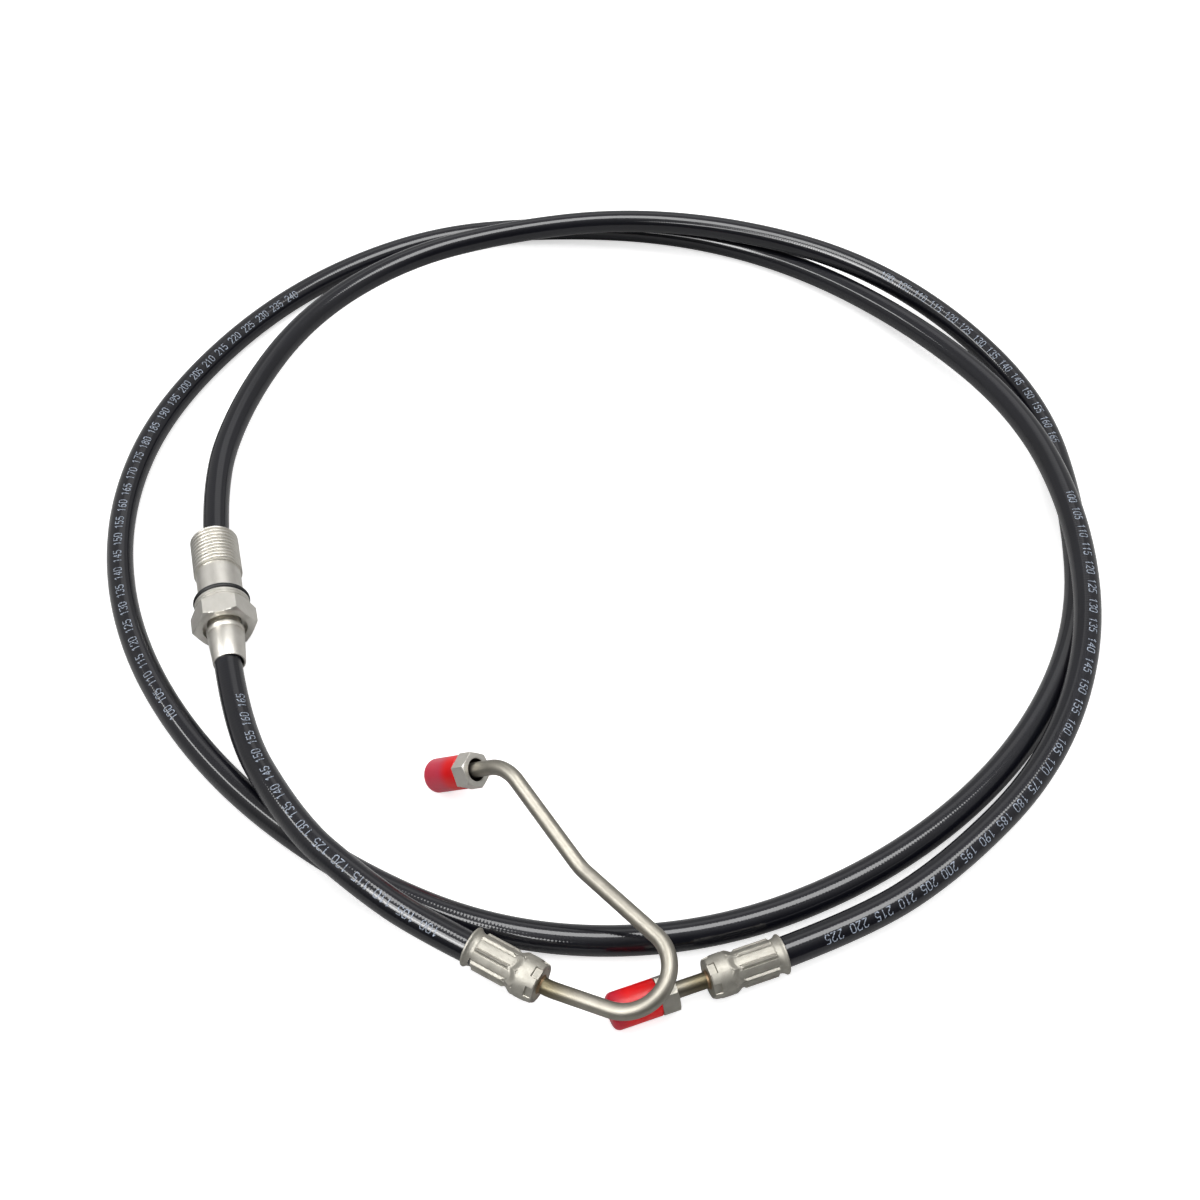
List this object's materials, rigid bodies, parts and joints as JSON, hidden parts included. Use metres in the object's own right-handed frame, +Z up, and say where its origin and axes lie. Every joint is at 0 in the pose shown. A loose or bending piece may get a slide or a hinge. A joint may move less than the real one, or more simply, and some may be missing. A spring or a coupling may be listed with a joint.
{
  "type": "hydraulic hose assembly",
  "caption": "Black thermoplastic hydraulic hose laid in a loose coil, with a mid-line bulkhead fitting, crimped ferrules, steel tube ends, tube nuts and push-on caps.",
  "frame": {"origin": "on the resting surface, under the middle of the box of the metal fittings, caps and seal (the free hose not counted)", "axes": "+Z up from the surface the coil lies on, +X to the right as the picture is seen, +Y away from the viewer"},
  "size_m": [0.4469, 0.4712, 0.0319],
  "materials": {
    "hose": "gloss black thermoplastic cover",
    "plated_steel": "matte plated steel, crimped",
    "tube_steel": "satin steel tube",
    "nut_steel": "satin plated steel",
    "fitting_steel": "machined satin stainless steel",
    "seal_rubber": "black seal rubber",
    "red_cap": "translucent red soft plastic"
  },
  "bodies": {
    "hose_line": {"hose_long": "hose", "hose_short": "hose", "bulkhead_sleeve": "fitting_steel", "left_ferrule": "plated_steel", "left_insert": "tube_steel", "left_tube": "tube_steel", "right_ferrule": "plated_steel", "right_insert": "tube_steel", "right_tube": "tube_steel"},
    "bulkhead": {"bulkhead_body": "fitting_steel", "bulkhead_seal_ring": "seal_rubber"},
    "left_nut_body": {"left_nut": "nut_steel"},
    "left_cap_body": {"left_cap": "red_cap"},
    "right_nut_body": {"right_nut": "nut_steel"},
    "right_cap_body": {"right_cap": "red_cap"}
  },
  "joints": [
    {"name": "bulkhead_turn", "type": "hinge", "parent": "hose_line", "child": "bulkhead", "pos_m": [-0.0971, 0.0439, 0.012], "axis": [-0.2521, 0.9677, 0], "continuous": true},
    {"name": "left_nut_turn", "type": "hinge", "parent": "hose_line", "child": "left_nut_body", "pos_m": [0.009, -0.01392, 0.02012], "axis": [-0.732, 0.2869, -0.618], "continuous": true},
    {"name": "left_cap_pull", "type": "slide", "parent": "left_nut_body", "child": "left_cap_body", "axis": [-0.732, 0.2869, -0.618], "range_m": [0, 0.0175]},
    {"name": "right_nut_turn", "type": "hinge", "parent": "hose_line", "child": "right_nut_body", "pos_m": [0.0831, -0.09945, 0.00774], "axis": [-0.9425, -0.3338, -0.0157], "continuous": true},
    {"name": "right_cap_pull", "type": "slide", "parent": "right_nut_body", "child": "right_cap_body", "axis": [-0.9425, -0.3338, -0.0157], "range_m": [0, 0.0175]}
  ]
}
